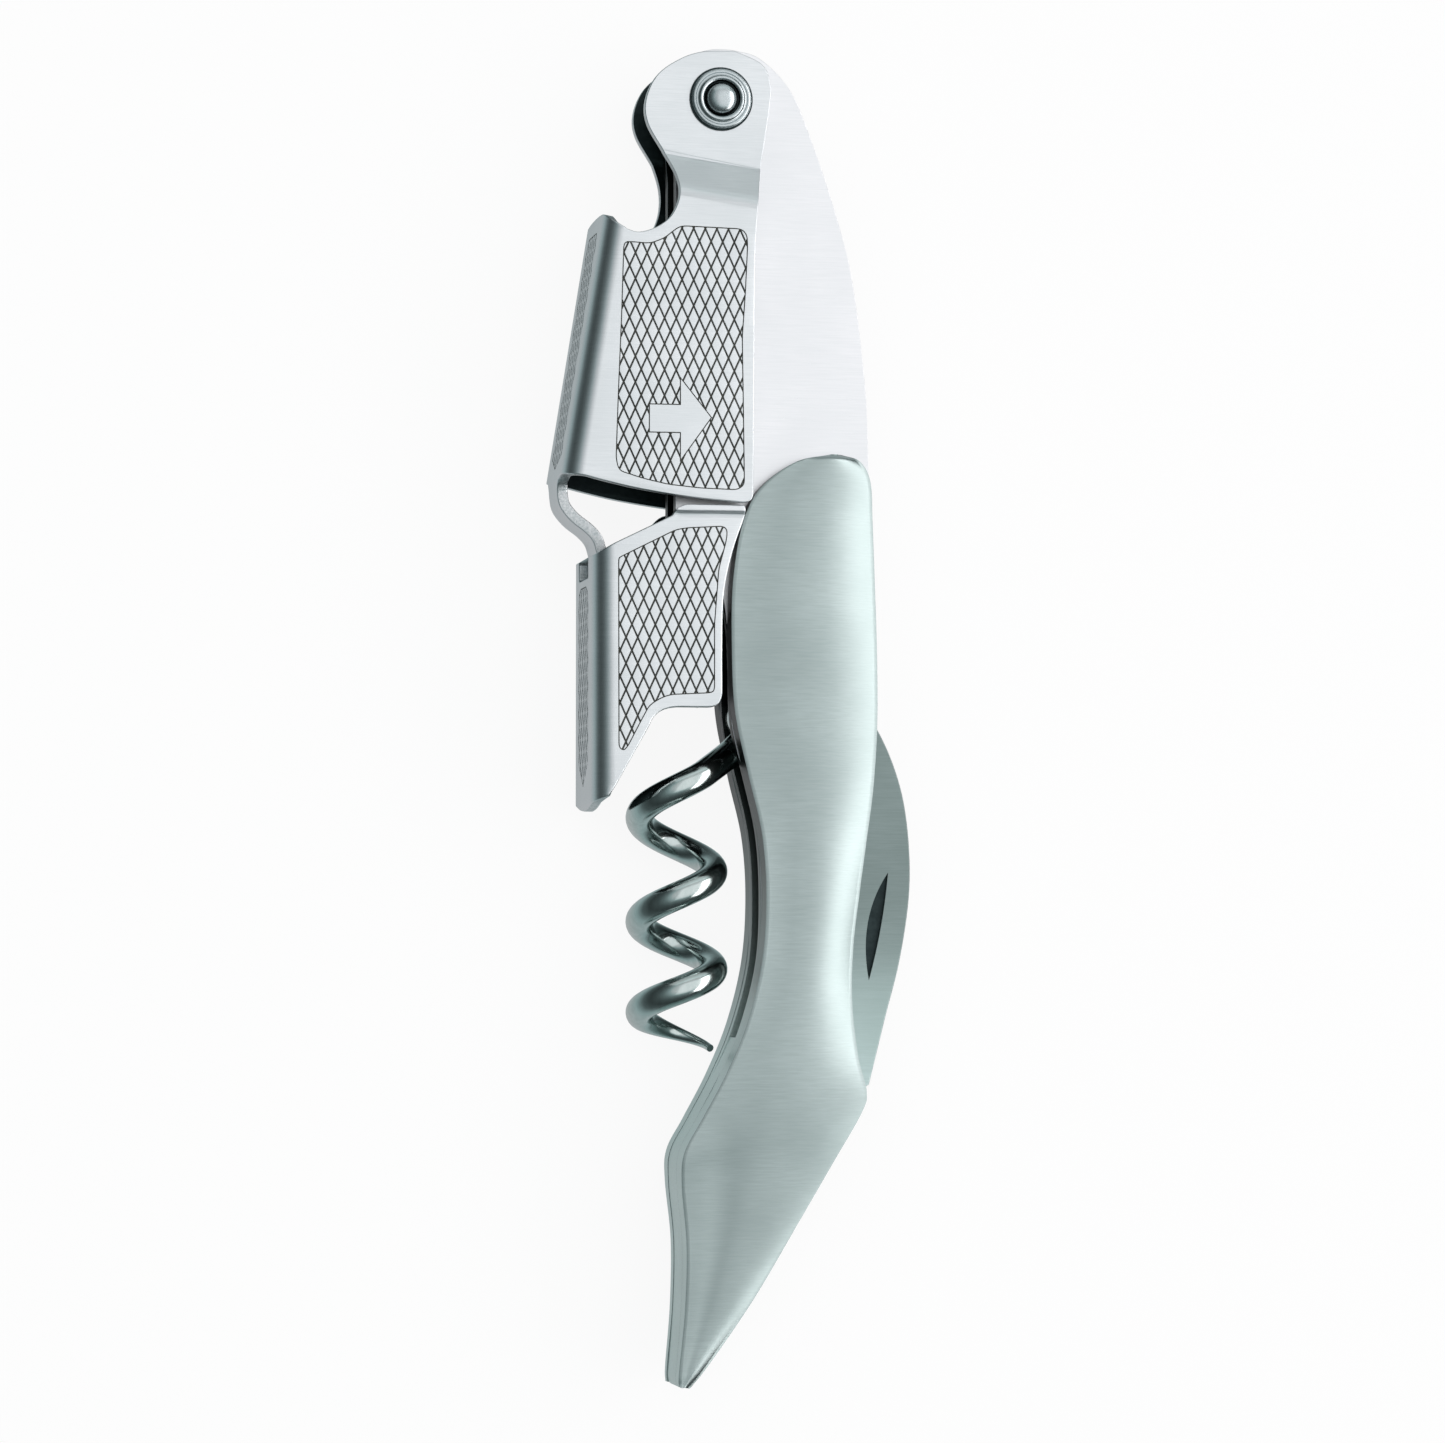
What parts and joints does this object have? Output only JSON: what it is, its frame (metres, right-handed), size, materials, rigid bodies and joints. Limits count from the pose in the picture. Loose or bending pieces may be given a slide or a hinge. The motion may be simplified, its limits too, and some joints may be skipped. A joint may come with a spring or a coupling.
{
  "type": "lever corkscrew",
  "caption": "Folding two-stage lever corkscrew in steel: hinged notched lever with diamond-cut sides, folding worm and foil blade in a curved two-shell handle.",
  "frame": {"origin": "middle of the folded corkscrew's outline, on the surface that it lies on", "axes": "+Y along the handle towards the lever's rivet, +X towards the foil blade, +Z out of the front side"},
  "size_m": [0.0338, 0.1244, 0.013],
  "materials": {
    "lever": "satin brushed, diamond-cut panels",
    "liner": "fine brushed",
    "shell": "satin",
    "rivet": "polished",
    "worm": "polished",
    "blade": "ground satin",
    "hidden": "plain"
  },
  "bodies": {
    "handle": {"front_liner": "liner", "rear_liner": "liner", "back_bar": "liner", "front_shell": "shell", "rear_shell": "shell", "tail_spacer": "shell", "lever_rivet": "rivet", "worm_spring": "hidden", "head_bush": "hidden", "worm_pin": "hidden", "blade_pin": "hidden", "spring_rivet": "hidden", "tail_pin_upper": "hidden", "tail_pin_lower": "hidden", "bar_pin_upper": "hidden", "bar_pin_lower": "hidden", "worm_washer_front": "hidden", "worm_washer_rear": "hidden", "blade_washer_front": "hidden", "blade_washer_rear": "hidden"},
    "upper_lever": {"upper_lever": "lever", "rivet_ring_front": "rivet", "rivet_ring_rear": "rivet", "hinge_pin": "hidden"},
    "lower_lever": {"lower_lever": "lever"},
    "worm": {"worm": "worm"},
    "blade": {"foil_blade": "blade"}
  },
  "joints": [
    {"name": "lever_swing", "type": "hinge", "parent": "handle", "child": "upper_lever", "pos_m": [-0.00169, 0.0573, 0.0065], "axis": [0, 0, -1], "range_deg": [0, 180]},
    {"name": "lower_lever_swing", "type": "hinge", "parent": "upper_lever", "child": "lower_lever", "pos_m": [-0.01129, 0.0138, 0.0065], "axis": [0, 0, -1], "range_deg": [0, 40]},
    {"name": "worm_swing", "type": "hinge", "parent": "handle", "child": "worm", "pos_m": [0.00191, -0.0002, 0.0065], "axis": [0, 0, -1], "range_deg": [0, 90]},
    {"name": "blade_swing", "type": "hinge", "parent": "handle", "child": "blade", "pos_m": [0.00981, -0.0358, 0.0065], "axis": [0, 0, -1], "range_deg": [0, 150]}
  ],
  "couplings": [
    {"joint": "worm_swing", "follows": "lever_swing", "ratio": 0.5}
  ]
}
